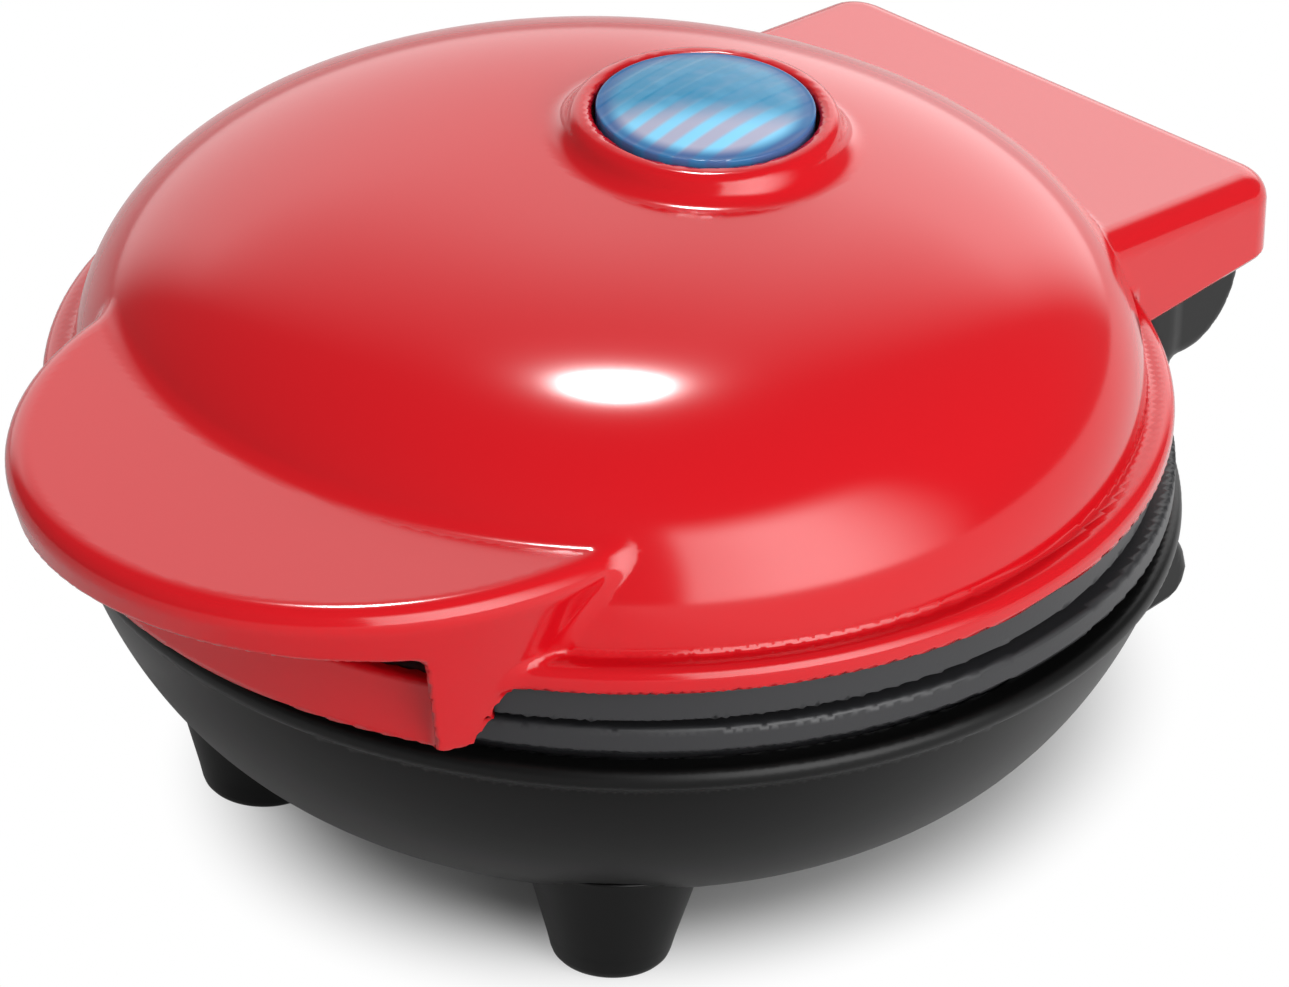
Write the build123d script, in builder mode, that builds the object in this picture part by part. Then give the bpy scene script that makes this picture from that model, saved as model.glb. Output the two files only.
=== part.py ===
from build123d import *
from math import atan2, cos, degrees, hypot, pi, radians, sin, tan
import os

os.makedirs("parts", exist_ok=True)

# Frame: millimetres, +Z up, table at z = 0, dome axis on the Z axis, front grip at -Y, hinge at +Y

# Lid dome and flange
wall = 2.2
dome_radius = 60.4
dome_foot_z = 49.9
dome_height = 27.1
dome_side_power = 3.25
dome_crown_power = 2.64
curve_steps = 8
hidden_steps = 4
flange_radius = 63.5
flange_bottom_z = 49.3
flange_top_z = 52.4
flange_chamfer = 1.0

# Collar and lens on the dome
lens_y = 15.4
collar_radius = 15.2
collar_top_z = 79.8
bore_radius = 12.8
lens_radius = 12.35
lens_rim_z = 80.2
lens_crown = 1.1

# Front grip, its skirt and its cheeks
grip_y = -40.3
grip_top_z = 64.2
grip_half_width = 38.0
grip_depth = 44.0
grip_foot_z = 41.0
grip_foot_half_width = 31.4
grip_foot_depth = 37.4
grip_sections = ((grip_foot_z, 0), (61.0, 0), (62.7, 0.55), (63.8, 1.7), (grip_top_z, 3.4))
recess_radius = 64.6
recess_half_angle = 23.7
recess_top_z = 57.8
seat_radius = 62.4

# Hinge cover
cover_half_width = 32.0
cover_front_y = 38.0
cover_rear_y = 82.4
cover_bottom_z = 46.4
cover_rear_top_z = 56.2
cover_slope = 8.0
cover_edge_round = 3.3
cover_corner_round = 5.0

# Hinge
hinge_y = 69.8
hinge_z = 45.5
barrel_radius = 9.0
barrel_half_width = 29.3
barrel_chamfer = 1.4
trough_half_width = 19.2
pin_radius = 2.0
running_gap = 0.06
lug_inner_x = 14.9
lug_outer_x = 18.6
lug_radius = 6.0

# Base bowl, whose axis sits a little behind the dome axis
base_y = 2.5
lip_radius = 63.5
lip_top_z = 38.3
lip_foot_z = 35.4
bowl_radius = 62.4
bowl_top_z = 36.0
bowl_depth = 29.8
bowl_side_power = 4.9
bowl_floor_power = 1.2
bowl_floor_z = 7.4
base_wall = 2.4
stand_foot_half_width = 26.6

# Feet
foot_x = 25.9
foot_y = -28.1
foot_top_radius = 11.2
foot_bottom_radius = 6.7
pad_radius = 4.0
pad_height = 1.6
stand_bottom_z = 0.6

# Waffle plates
upper_rim_radius = 62.0
upper_rim_bottom_z = 44.8
upper_rim_top_z = 49.3
lower_rim_radius = 62.5
lower_rim_bottom_z = 40.0
lower_rim_top_z = 43.3
pan_y = base_y / 2
pan_mouth_radius = 50.8
pan_floor_radius = 49.4
pan_depth = 7.2
pan_skin = 2.0
rim_skin = 2.0
stud_pitch = 14.0
stud_width = 9.8
stud_height = 5.7
stud_reach = 43.0
stud_taper = 12.0

# Heaters and what is inside
heater_radius = 38.0
heater_tube_radius = 3.2
heater_tube_sides = 8
heater_steps = 18
heater_gap_angle = 56.0
shield_radius = 49.0
shield_skin = 0.8
post_ring_radius = 27.0
screw_radius = 1.4
screw_head_radius = 2.8
screw_head_depth = 1.2
screw_reach = 7.0

# Lens seat, lamp holder and lamps
lens_seat_radius = 14.0
lens_seat_z = 76.0
lens_bore_radius = 11.0
lens_rib_pitch = 3.2
holder_bottom_z = 66.5
holder_top_z = 74.5
holder_floor = 1.5
lamp_radius = 2.4
lamp_spacing = 8.0
lamp_height = 8.5
lamp_tip = 1.0

# Rims, walls and bosses of the plates
rim_wall = 2.0
skirt_radius = 59.0
skirt_foot_z = 35.0
boss_radius = 3.2
small_sides = 8
round_sides = 24
foot_sides = 32
ring_sides = 36
shield_gap = 7.0
heater_channel = 3.3
insulator_radius = 2.6
insulator_length = 6.0
tab_width = 5.0
tab_skin = 0.8
tab_length = 7.0

# Posts and screws of the lid
lid_post_ring_radius = 56.4
lid_post_radius = 3.0
lid_post_height = 9.0
grip_post_height = 16.0
wire_window_z = 54.6

# Base: lip, trough, stand, inlet and posts
lip_round = 0.9
clear_radius = 63.3
bowl_clear_z = 44.0
tower_front_y = 57.0
tower_bend_z = 19.0
neck_rear_y = 67.4
stand_rear_y = 73.9
stand_bulge = (76.2, 3.8)
stand_back = ((73.2, 9.4), (72.5, 16.0), (70.5, 22.0), (68.3, 28.0), (neck_rear_y, 34.5))
wire_way = (
    (72, 14.2),
    (72, 17.8),
    (66, 17.8),
    (60.5, 27.2),
    (54, 27.2),
    (54, 23.6),
    (58.5, 23.6),
    (64, 14.2),
)
wire_way_half_width = 5.0
wire_slot_y = 64.6
wire_slot_foot_z = 29.0
wire_slot_height = 12.0
wire_slot_depth = 5.2
base_post_radius = 4.6
screw_seat_z = 16.0
base_post_reach = 14.0
block_y = 42.0
block_foot_z = 15.0
inlet_seat_y = 73.4
inlet_z = 16.0
inlet_radius = 4.5
inlet_flange_radius = 5.8
inlet_bore_radius = 3.5
inlet_neck = 4.5
inlet_flange = 1.5
inlet_seat_depth = 4.4
inlet_hole_depth = 12.0
pin_end_x = 27.5
pin_head_x = 14.2
pin_head_radius = 3.2
pin_head_depth = 1.2
pad_x = 20.0
pad_y = 67.0
foot_top_z = 17.0
foot_chamfer = 1.1
foot_seat_inner_z = 8.6
foot_seat_outer_z = 15.3
foot_seat_span = 20.0

# Thermostat and wires
thermostat_radius = 7.5
thermostat_flange_radius = 9.0
thermostat_flange = 2.0
thermostat_height = 8.0
thermostat_hole_radius = 10.0
clip_length = 32.0
fuse_radius = 2.2
fuse_length = 12.0
wire_radius = 0.9
wire_gap = 3.6

low = (Align.CENTER, Align.CENTER, Align.MIN)
lid_post_angles = (30, 150, 270)
base_post_angles = (90, 210, 330)


def rounded_quarter(radius, foot, rise, side_power, crown_power, steps):
    """Points of a quarter superellipse, from the outer edge to the axis."""
    points = []
    for step in range(steps + 1):
        angle = pi / 2 * step / steps
        across = max(cos(angle), 0.0) ** (2 / side_power)
        along = sin(angle) ** (2 / crown_power)
        points.append((radius * across, foot + rise * along))
    return points


def polar(radius, angle):
    """Point of the XY plane at a radius and an angle in degrees."""
    return (radius * cos(radians(angle)), radius * sin(radians(angle)))


def save(piece, name):
    """Label a finished piece and write it under its own name."""
    piece.label = name
    export_step(piece, f"parts/{name}.step")


base_side = Plane(origin=(0, base_y, 0), x_dir=(1, 0, 0), z_dir=(0, -1, 0))
base_axis = Axis((0, base_y, 0), (0, 0, 1))
lens_side = Plane(origin=(0, lens_y, 0), x_dir=(1, 0, 0), z_dir=(0, -1, 0))
lens_axis = Axis((0, lens_y, 0), (0, 0, 1))
pan_side = Plane(origin=(0, pan_y, 0), x_dir=(1, 0, 0), z_dir=(0, -1, 0))
pan_axis = Axis((0, pan_y, 0), (0, 0, 1))
rear_face = Plane(origin=(0, inlet_seat_y, inlet_z), x_dir=(1, 0, 0), z_dir=(0, -1, 0))


def faceted_solid(outline, centre, sides):
    """Many-sided solid through the levels of an outline, whose widest level comes first."""
    with BuildPart() as solid:
        for (near, near_z), (far, far_z) in zip(outline, outline[1:]):
            lean = atan2((near - far) * cos(pi / sides), far_z - near_z)
            with BuildSketch(Plane.XY.offset(near_z)):
                with Locations(centre):
                    RegularPolygon(near, sides)
            extrude(amount=far_z - near_z, taper=degrees(lean))
    return solid.part


def upside_down(outline):
    """The same outline with its heights turned over, for a solid that is mirrored afterwards."""
    return [(radius, -height) for radius, height in outline]


def cover_profile(inset):
    """Side outline of the hinge cover, drawn in by an inset at the rear and the top."""
    rear = cover_rear_y - inset
    rear_top = cover_rear_top_z - inset
    return (rear, rear_top, rear_top + (rear - cover_front_y) * tan(radians(cover_slope)))


# Dome outside and the hollow under it, whose crown is flat where nobody sees it
dome_curve = rounded_quarter(
    dome_radius, dome_foot_z, dome_height, dome_side_power, dome_crown_power, curve_steps
)
hollow_curve = rounded_quarter(
    dome_radius - wall,
    dome_foot_z,
    dome_height - wall,
    dome_side_power,
    dome_crown_power,
    hidden_steps,
)
hollow_foot_z = flange_bottom_z - 0.6
with BuildPart() as dome_outside:
    with BuildSketch(Plane.XZ):
        Polygon(*dome_curve, (0, hollow_foot_z), (dome_radius, hollow_foot_z), align=None)
    revolve(axis=Axis.Z)
dome_inside = faceted_solid(
    [(dome_radius - wall, hollow_foot_z), *hollow_curve[:-1]], (0, 0), ring_sides
)


# Hinge cover, a hollow box with a sloping roof
with BuildPart() as hinge_cover:
    rear, rear_top, front_top = cover_profile(0)
    with BuildSketch(Plane.YZ.offset(-cover_half_width)):
        Polygon(
            (cover_front_y, cover_bottom_z),
            (rear, cover_bottom_z),
            (rear, rear_top),
            (cover_front_y, front_top),
            align=None,
        )
    extrude(amount=2 * cover_half_width)
    fillet(hinge_cover.edges().filter_by(Axis.Z).group_by(Axis.Y)[-1], cover_corner_round)
    fillet(hinge_cover.faces().sort_by(Axis.Z)[-1].edges(), cover_edge_round)

with BuildPart() as cover_cavity:
    rear, rear_top, front_top = cover_profile(wall)
    with BuildSketch(Plane.YZ.offset(wall - cover_half_width)):
        Polygon(
            (cover_front_y, cover_bottom_z - 1),
            (rear, cover_bottom_z - 1),
            (rear, rear_top),
            (cover_front_y, front_top),
            align=None,
        )
    extrude(amount=2 * (cover_half_width - wall))
    fillet(cover_cavity.edges().filter_by(Axis.Z).group_by(Axis.Y)[-1], cover_corner_round - wall)

# Front grip, lofted from the narrower foot of its cheeks to a broad top with a rounded rim
with BuildPart() as grip:
    for height, inset in grip_sections:
        share = (height - grip_foot_z) / (grip_top_z - grip_foot_z)
        half_width = grip_foot_half_width + share * (grip_half_width + 1.0 - grip_foot_half_width)
        depth = grip_foot_depth + share * (grip_depth + 1.0 - grip_foot_depth)
        with BuildSketch(Plane.XY.offset(height)):
            with Locations((0, grip_y)):
                Ellipse(half_width - inset, depth - inset)
    loft(ruled=True)

with BuildPart() as grip_cavity:
    cavity_foot_z = flange_bottom_z
    cavity_top_z = grip_top_z - wall
    share = (cavity_foot_z - grip_foot_z) / (grip_top_z - grip_foot_z)
    foot_half_width = grip_foot_half_width + share * (grip_half_width + 1.0 - grip_foot_half_width)
    foot_depth = grip_foot_depth + share * (grip_depth + 1.0 - grip_foot_depth)
    with BuildSketch(Plane.XY.offset(cavity_foot_z)):
        with Locations((0, grip_y)):
            Ellipse(foot_half_width - 1.2 * wall, foot_depth - 1.2 * wall)
    with BuildSketch(Plane.XY.offset(cavity_top_z)):
        with Locations((0, grip_y)):
            Ellipse(grip_half_width - 1.2 * wall, grip_depth - 1.2 * wall)
    loft(ruled=True)
    turned = Plane.XZ.rotated((0, 0, -90 - recess_half_angle - 2.0))
    with BuildSketch(turned):
        with Locations((seat_radius, 30)):
            Rectangle(40, recess_top_z + wall - 30, align=(Align.MIN, Align.MIN))
    revolve(axis=Axis.Z, revolution_arc=2 * (recess_half_angle + 2.0), mode=Mode.SUBTRACT)

with BuildPart() as finger_recess:
    turned = Plane.XZ.rotated((0, 0, -90 - recess_half_angle))
    with BuildSketch(turned):
        with Locations((recess_radius, 30)):
            Rectangle(40, recess_top_z - 30, align=(Align.MIN, Align.MIN))
    revolve(axis=Axis.Z, revolution_arc=2 * recess_half_angle)

# Lid shell: cover, dome, flange, collar and grip as one moulding
with BuildPart() as lid_shell:
    add(hinge_cover.part)
    add(cover_cavity.part, mode=Mode.SUBTRACT)
    add(dome_outside.part)
    with BuildSketch(Plane.XZ):
        Polygon(
            (40, flange_bottom_z),
            (flange_radius, flange_bottom_z),
            (flange_radius, flange_top_z - flange_chamfer),
            (flange_radius - flange_chamfer, flange_top_z),
            (40, flange_top_z),
            align=None,
        )
    revolve(axis=Axis.Z)
    add(grip.part)
    with BuildSketch(lens_side):
        Polygon(
            (0, 68),
            (collar_radius + 4.2, 68),
            (collar_radius + 4.2, 74.6),
            (collar_radius + 1.2, 76.0),
            (collar_radius, 78.2),
            (collar_radius, collar_top_z - 0.7),
            (collar_radius - 0.7, collar_top_z),
            (0, collar_top_z),
            align=None,
        )
    revolve(axis=lens_axis)
    # Space inside the dome, the grip and the recess for the plate
    add(dome_inside, mode=Mode.SUBTRACT)
    add(grip_cavity.part, mode=Mode.SUBTRACT)
    add(finger_recess.part, mode=Mode.SUBTRACT)
    with Locations((0, 0, 30)):
        Cylinder(seat_radius, flange_bottom_z - 30, align=low, mode=Mode.SUBTRACT)
    # Seat of the lens with a sleeve that holds the lamp holder
    with BuildSketch(Plane.XY.offset(holder_bottom_z)):
        with Locations((0, lens_y)):
            RegularPolygon(lens_seat_radius + 1.8, round_sides)
    extrude(amount=lens_seat_z - 1 - holder_bottom_z)
    with BuildSketch(Plane.XY.offset(holder_bottom_z)):
        with Locations((0, lens_y)):
            RegularPolygon(lens_seat_radius, round_sides)
    extrude(amount=lens_seat_z - holder_bottom_z, mode=Mode.SUBTRACT)
    with Locations((0, lens_y, lens_seat_z - 1)):
        Cylinder(bore_radius, 10, align=low, mode=Mode.SUBTRACT)
    # Posts that take the screws of the upper plate
    for angle in lid_post_angles:
        post_height = grip_post_height if angle == 270 else lid_post_height
        with BuildSketch(Plane.XY.offset(upper_rim_bottom_z + rim_skin)):
            with Locations(polar(lid_post_ring_radius, angle)):
                RegularPolygon(lid_post_radius, small_sides)
        extrude(amount=post_height)
    with BuildSketch(Plane.XY.offset(upper_rim_bottom_z + rim_skin)):
        with Locations(*[polar(lid_post_ring_radius, angle) for angle in lid_post_angles]):
            RegularPolygon(screw_radius, small_sides)
    extrude(amount=screw_reach, mode=Mode.SUBTRACT)
    # Lugs that hang from the cover roof and turn on the hinge pins
    for lug_x in (lug_inner_x, -lug_outer_x):
        with BuildSketch(Plane.YZ.offset(lug_x)):
            Polygon(
                (56.8, 58.2),
                (56.8, 50.0),
                (61.6, 49.4),
                (64.2, hinge_z - 0.5),
                (hinge_y, hinge_z - 3),
                (hinge_y + 5, hinge_z + 1),
                (hinge_y + 4, 56.2),
                align=None,
            )
            with Locations((hinge_y, hinge_z)):
                RegularPolygon(lug_radius, round_sides)
        extrude(amount=lug_outer_x - lug_inner_x)
    with Locations(Location((0, hinge_y, hinge_z), (0, 90, 0))):
        Cylinder(pin_radius + running_gap, 2 * lug_outer_x + 1, mode=Mode.SUBTRACT)
    # Window for the wires between the hinge cover and the dome
    with Locations((0, dome_radius, wire_window_z)):
        Box(14, 8, wire_gap, mode=Mode.SUBTRACT)
save(lid_shell.part, "lid_shell")

# Indicator lens: a thin cap with a crowned top, a seating flange and ribs under its skin
lens_outline = [
    (lens_radius, lens_seat_z - 1),
    (lens_radius, lens_rim_z - 0.4),
    (0.84 * lens_radius, lens_rim_z + 0.5 * lens_crown),
    (0.4 * lens_radius, lens_rim_z + lens_crown),
]
with BuildPart() as lens:
    add(faceted_solid(lens_outline, (0, lens_y), ring_sides))
    with BuildSketch(Plane.XY.offset(lens_seat_z - 0.1)):
        with Locations((0, lens_y)):
            RegularPolygon(lens_seat_radius - 0.2, round_sides)
    extrude(amount=-1.4)
    with BuildSketch(Plane.XY.offset(lens_seat_z - 1.5)):
        with Locations((0, lens_y)):
            RegularPolygon(lens_bore_radius, round_sides)
    extrude(amount=lens_rim_z - lens_seat_z + 0.2, mode=Mode.SUBTRACT)
    with BuildSketch(Plane.XY.offset(lens_rim_z - 1.3)):
        with Locations((0, lens_y)):
            with GridLocations(lens_rib_pitch, 1, 7, 1):
                Rectangle(0.9, 2 * lens_radius)
            RegularPolygon(lens_bore_radius, round_sides, mode=Mode.INTERSECT)
    extrude(amount=-0.9)
save(lens.part, "indicator_lens")

# Lamp holder under the lens, a cup that carries the two lamps
with BuildPart() as holder:
    with BuildSketch(Plane.XY.offset(holder_bottom_z)):
        with Locations((0, lens_y)):
            RegularPolygon(lens_seat_radius, round_sides)
    extrude(amount=holder_top_z - holder_bottom_z)
    with BuildSketch(Plane.XY.offset(holder_bottom_z + holder_floor)):
        with Locations((0, lens_y)):
            RegularPolygon(lens_bore_radius, round_sides)
    extrude(amount=holder_top_z - holder_bottom_z, mode=Mode.SUBTRACT)
    with BuildSketch(Plane.XY.offset(holder_bottom_z)):
        with Locations((0, lens_y)):
            with GridLocations(lamp_spacing, 1, 2, 1):
                RegularPolygon(lamp_radius, small_sides)
    extrude(amount=holder_floor, mode=Mode.SUBTRACT)
save(holder.part, "lamp_holder")

# Two neon lamps that stand up in the holder
with BuildPart() as lamps:
    with BuildSketch(Plane.XY.offset(holder_bottom_z - 1)):
        with Locations((0, lens_y)):
            with GridLocations(lamp_spacing, 1, 2, 1):
                RegularPolygon(lamp_radius, small_sides)
    extrude(amount=lamp_height)
    tips = [face for face in lamps.faces() if face.center().Z > holder_bottom_z - 1 + lamp_height - 0.1]
    chamfer([edge for face in tips for edge in face.edges()], lamp_tip)
save(lamps.part, "indicator_lamp")


def stud_spots():
    """Centres of the waffle studs, on a square grid inside the pan."""
    steps = [stud_pitch * (i + 0.5) for i in range(-3, 3)]
    return [(x, pan_y + y) for x in steps for y in steps if hypot(x, y) < stud_reach]


def boss_spots():
    """Centres of the bosses that hold a heat shield, around the base axis."""
    spots = [polar(post_ring_radius, angle) for angle in base_post_angles]
    return [(x, base_y + y) for x, y in spots]


def ring_between(outer, inner, foot_z, top_z, centre_y):
    """Upright ring between two radii and two heights."""
    with BuildPart() as ring:
        with BuildSketch(Plane.XY.offset(foot_z)):
            with Locations((0, centre_y)):
                RegularPolygon(outer, ring_sides)
                RegularPolygon(inner, ring_sides, mode=Mode.SUBTRACT)
        extrude(amount=top_z - foot_z)
    return ring.part


# Field of studs and outline of the pan's back, standing on z = 0
with BuildPart() as studs:
    with BuildSketch():
        with Locations(*stud_spots()):
            Rectangle(stud_width, stud_width)
    extrude(amount=stud_height, taper=stud_taper)
pan_back = faceted_solid(
    [(pan_mouth_radius + pan_skin, 0), (pan_floor_radius + pan_skin, pan_depth + pan_skin)],
    (0, pan_y),
    ring_sides,
)
hanging_studs = mirror(studs.part, about=Plane.XY)
hanging_back = mirror(pan_back, about=Plane.XY)

# Upper waffle plate: a cast pan with studs, an upturned rim and bosses for its shield
upper_floor_z = upper_rim_bottom_z + pan_depth
upper_back_z = upper_floor_z + pan_skin
with BuildPart() as upper_plate:
    with Locations((0, 0, upper_rim_bottom_z)):
        Cylinder(upper_rim_radius, upper_rim_top_z - upper_rim_bottom_z, align=low)
    with BuildSketch(Plane.XY.offset(upper_rim_bottom_z + rim_skin)):
        RegularPolygon(upper_rim_radius - rim_wall, ring_sides)
    extrude(amount=upper_rim_top_z - upper_rim_bottom_z, mode=Mode.SUBTRACT)
    add(pan_back.moved(Location((0, 0, upper_rim_bottom_z))))
    with Locations((0, pan_y, upper_rim_bottom_z)):
        Cone(pan_mouth_radius, pan_floor_radius, pan_depth, align=low, mode=Mode.SUBTRACT)
    add(hanging_studs.moved(Location((0, 0, upper_floor_z))))
    with BuildSketch(Plane.XY.offset(upper_back_z)):
        with Locations(*boss_spots()):
            RegularPolygon(boss_radius, small_sides)
            RegularPolygon(screw_radius, small_sides, mode=Mode.SUBTRACT)
    extrude(amount=shield_gap)
    for radius, depth in ((screw_radius, rim_skin), (screw_head_radius, screw_head_depth)):
        with BuildSketch(Plane.XY.offset(upper_rim_bottom_z)):
            with Locations(*[polar(lid_post_ring_radius, angle) for angle in lid_post_angles]):
                RegularPolygon(radius, small_sides)
        extrude(amount=depth, mode=Mode.SUBTRACT)
save(upper_plate.part, "upper_waffle_plate")

# Lower waffle plate: the same pan facing up, with a skirt that drops inside the lip of the base
lower_floor_z = lower_rim_top_z - pan_depth
lower_back_z = lower_floor_z - pan_skin
with BuildPart() as lower_plate:
    with Locations((0, base_y, lower_rim_bottom_z)):
        Cylinder(lower_rim_radius, lower_rim_top_z - lower_rim_bottom_z, align=low)
    with BuildSketch(Plane.XY.offset(lower_rim_bottom_z)):
        with Locations((0, base_y)):
            RegularPolygon(lower_rim_radius - rim_wall, ring_sides)
    extrude(amount=lower_rim_top_z - rim_skin - lower_rim_bottom_z, mode=Mode.SUBTRACT)
    add(ring_between(skirt_radius, skirt_radius - rim_wall, skirt_foot_z, lower_rim_top_z - 1, base_y))
    add(hanging_back.moved(Location((0, 0, lower_rim_top_z))))
    with Locations((0, pan_y, lower_floor_z)):
        Cone(pan_floor_radius, pan_mouth_radius, pan_depth, align=low, mode=Mode.SUBTRACT)
    add(studs.part.moved(Location((0, 0, lower_floor_z))))
    with BuildSketch(Plane.XY.offset(lower_back_z)):
        with Locations(*boss_spots()):
            RegularPolygon(boss_radius, small_sides)
            RegularPolygon(screw_radius, small_sides, mode=Mode.SUBTRACT)
    extrude(amount=-shield_gap)
save(lower_plate.part, "lower_waffle_plate")

upper_heater_z = upper_back_z + heater_channel
lower_heater_z = lower_back_z - heater_channel


def heater_path(height):
    """Open ring of short chords, with its gap towards the hinge."""
    turn = (360 - heater_gap_angle) / heater_steps
    start = 90 + heater_gap_angle / 2
    spots = [polar(heater_radius, start + turn * step) for step in range(heater_steps + 1)]
    return Polyline(*[(x, pan_y + y, height) for x, y in spots])


def heater_tube(height):
    """Tube of a heater, with an eight-sided section."""
    with BuildPart() as tube:
        with BuildLine():
            path = heater_path(height)
        with BuildSketch(Plane(origin=path @ 0, x_dir=(0, 0, 1), z_dir=path % 0)):
            RegularPolygon(heater_tube_radius, heater_tube_sides, rotation=180 / heater_tube_sides)
        sweep(path=path, transition=Transition.RIGHT)
    return tube.part


def heater_ends(height):
    """Ceramic insulator and flat tab on each end of a heater."""
    with BuildLine():
        path = heater_path(height)
    with BuildPart() as ends:
        for share, way in ((0, -1), (1, 1)):
            end = Plane(origin=path @ share, x_dir=(0, 0, 1), z_dir=way * (path % share))
            with BuildSketch(end):
                RegularPolygon(insulator_radius, small_sides)
            extrude(amount=insulator_length)
            with BuildSketch(end.offset(insulator_length)):
                Rectangle(tab_width, tab_skin)
            extrude(amount=tab_length)
    return ends.part


save(heater_tube(upper_heater_z), "upper_heating_element")
save(heater_tube(lower_heater_z), "lower_heating_element")
save(heater_ends(upper_heater_z), "upper_element_terminals")
save(heater_ends(lower_heater_z), "lower_element_terminals")


def heat_shield(face_z, rim_foot_z, rim_top_z, centre_hole):
    """Pressed dish with a short rim, screw holes and an opening for the wires."""
    with BuildPart() as shield:
        with BuildSketch(Plane.XY.offset(face_z)):
            with Locations((0, pan_y)):
                RegularPolygon(shield_radius, round_sides)
                RegularPolygon(centre_hole, round_sides, mode=Mode.SUBTRACT)
        extrude(amount=shield_skin)
        with BuildSketch(Plane.XY.offset(rim_foot_z)):
            with Locations((0, pan_y)):
                RegularPolygon(shield_radius, round_sides)
                RegularPolygon(shield_radius - shield_skin, round_sides, mode=Mode.SUBTRACT)
        extrude(amount=rim_top_z - rim_foot_z)
        with BuildSketch(Plane.XY.offset(face_z)):
            with Locations(*boss_spots()):
                RegularPolygon(screw_radius + 0.3, small_sides)
        extrude(amount=shield_skin, mode=Mode.SUBTRACT)
        with Locations((0, pan_y + shield_radius, face_z)):
            Box(24, 34, 30, mode=Mode.SUBTRACT)
    return shield.part


upper_shield_z = upper_back_z + shield_gap
lower_shield_z = lower_back_z - shield_gap - shield_skin
save(heat_shield(upper_shield_z, upper_shield_z - 3, upper_shield_z, 6.0), "upper_heat_shield")
save(
    heat_shield(lower_shield_z, lower_shield_z, lower_shield_z + 4, thermostat_hole_radius),
    "lower_heat_shield",
)


def screw(spots, head_z, head_depth, tip_z):
    """Screws at the given spots, each with an eight-sided head and shank."""
    with BuildPart() as screws:
        with BuildSketch(Plane.XY.offset(head_z)):
            with Locations(*spots):
                RegularPolygon(screw_head_radius, small_sides)
        extrude(amount=head_depth)
        with BuildSketch(Plane.XY.offset(min(head_z, tip_z))):
            with Locations(*spots):
                RegularPolygon(screw_radius, small_sides)
        extrude(amount=abs(tip_z - head_z))
    return screws.part


# Screws of the upper plate: three into the lid and three that hold the shield
with BuildPart() as upper_screws:
    lid_spots = [polar(lid_post_ring_radius, angle) for angle in lid_post_angles]
    add(screw(lid_spots, upper_rim_bottom_z, screw_head_depth, upper_rim_bottom_z + rim_skin + screw_reach))
    add(screw(boss_spots(), upper_shield_z + shield_skin, 1.6, upper_shield_z - 5))
save(upper_screws.part, "upper_plate_screws")


def bowl_curve(radius, depth, floor_z, steps):
    """Outline of the bowl from its mouth down to the edge of its flat floor."""
    points = rounded_quarter(radius, bowl_top_z, -depth, bowl_side_power, bowl_floor_power, steps)
    above = [point for point in points if point[1] > floor_z + 0.2]
    (near, near_z), (far, far_z) = points[len(above) - 1], points[len(above)]
    share = (near_z - floor_z) / (near_z - far_z)
    return [*above, (near + share * (far - near), floor_z)]


bowl_outline = bowl_curve(bowl_radius, bowl_depth, bowl_floor_z, curve_steps)
bowl_hollow = bowl_curve(
    bowl_radius - base_wall,
    bowl_depth - base_wall,
    bowl_floor_z + base_wall,
    2 * hidden_steps,
)
with BuildPart() as bowl_outside:
    with BuildSketch(base_side):
        Polygon(
            (0, bowl_top_z + 1),
            (bowl_radius, bowl_top_z + 1),
            *bowl_outline,
            (0, bowl_floor_z),
            align=None,
        )
    revolve(axis=base_axis)
bowl_inside = mirror(
    faceted_solid(
        upside_down([(bowl_radius - base_wall, bowl_clear_z), *bowl_hollow]),
        (0, base_y),
        ring_sides,
    ),
    about=Plane.XY,
)

# Front feet: tapered stubs whose slanting tops sit in sockets of the bowl
foot_outline = [
    (foot_top_radius, foot_top_z),
    (foot_bottom_radius, foot_chamfer),
    (foot_bottom_radius - foot_chamfer, 0),
]
feet = []
for side in (-1, 1):
    stub = faceted_solid(upside_down(foot_outline), (side * foot_x, foot_y), foot_sides)
    standing_stub = mirror(stub, about=Plane.XY)
    with BuildPart() as foot:
        add(standing_stub)
        outward = (side * foot_x, foot_y - base_y)
        reach = hypot(*outward)
        slope = (foot_seat_outer_z - foot_seat_inner_z) / foot_seat_span
        seat = Plane(
            origin=(side * foot_x, foot_y, (foot_seat_outer_z + foot_seat_inner_z) / 2),
            z_dir=(-slope * outward[0] / reach, -slope * outward[1] / reach, 1),
        )
        split(bisect_by=seat, keep=Keep.BOTTOM)
    feet.append(foot.part)

# Hinge barrel with chamfered ends
with BuildPart() as barrel:
    with Locations(Location((0, hinge_y, hinge_z), (0, 90, 0))):
        Cylinder(barrel_radius, 2 * barrel_half_width)
    chamfer(barrel.edges(), barrel_chamfer)

# Hinge tower and rear stand, drawn from the side and drafted towards the table
with BuildPart() as tower:
    with BuildSketch(Plane.YZ.offset(-barrel_half_width)):
        with BuildLine():
            ThreePointArc((stand_rear_y, stand_bottom_z), stand_bulge, stand_back[0])
            Polyline(
                *stand_back,
                (neck_rear_y, hinge_z),
                (tower_front_y, hinge_z),
                (tower_front_y, tower_bend_z),
                (tower_front_y + 3.5, stand_bottom_z),
                (stand_rear_y, stand_bottom_z),
            )
        make_face()
    extrude(amount=2 * barrel_half_width)
    add(barrel.part)
    with BuildSketch(Plane.XZ):
        Polygon(
            (-stand_foot_half_width, stand_bottom_z),
            (stand_foot_half_width, stand_bottom_z),
            (barrel_half_width, 40),
            (barrel_half_width, 60),
            (-barrel_half_width, 60),
            (-barrel_half_width, 40),
            align=None,
        )
    extrude(amount=100, both=True, mode=Mode.INTERSECT)

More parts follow.
